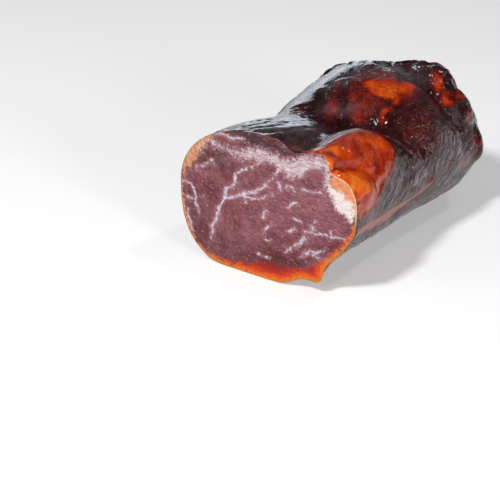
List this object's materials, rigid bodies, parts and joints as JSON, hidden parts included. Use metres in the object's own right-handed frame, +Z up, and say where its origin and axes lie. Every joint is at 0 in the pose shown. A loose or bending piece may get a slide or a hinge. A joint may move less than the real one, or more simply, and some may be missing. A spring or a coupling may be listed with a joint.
{
  "type": "boneless cured ham piece",
  "caption": "Piece of boneless cured ham with one clean cut face, a dark glossy folded rind and a flattened underside to rest on.",
  "frame": {"origin": "on the table, under the middle of the piece's box", "axes": "+Z up, +Y from the cut face towards the far end, +X to the right as the cut face is seen"},
  "size_m": [0.1094, 0.1592, 0.0806],
  "materials": {
    "cured_meat": "dry-cured pork: dark maroon leathery rind with an oily shine, amber fat pads, and a matt mauve-red cut face with white marbling"
  },
  "bodies": {
    "root": {"ham": "cured_meat"}
  },
  "joints": []
}
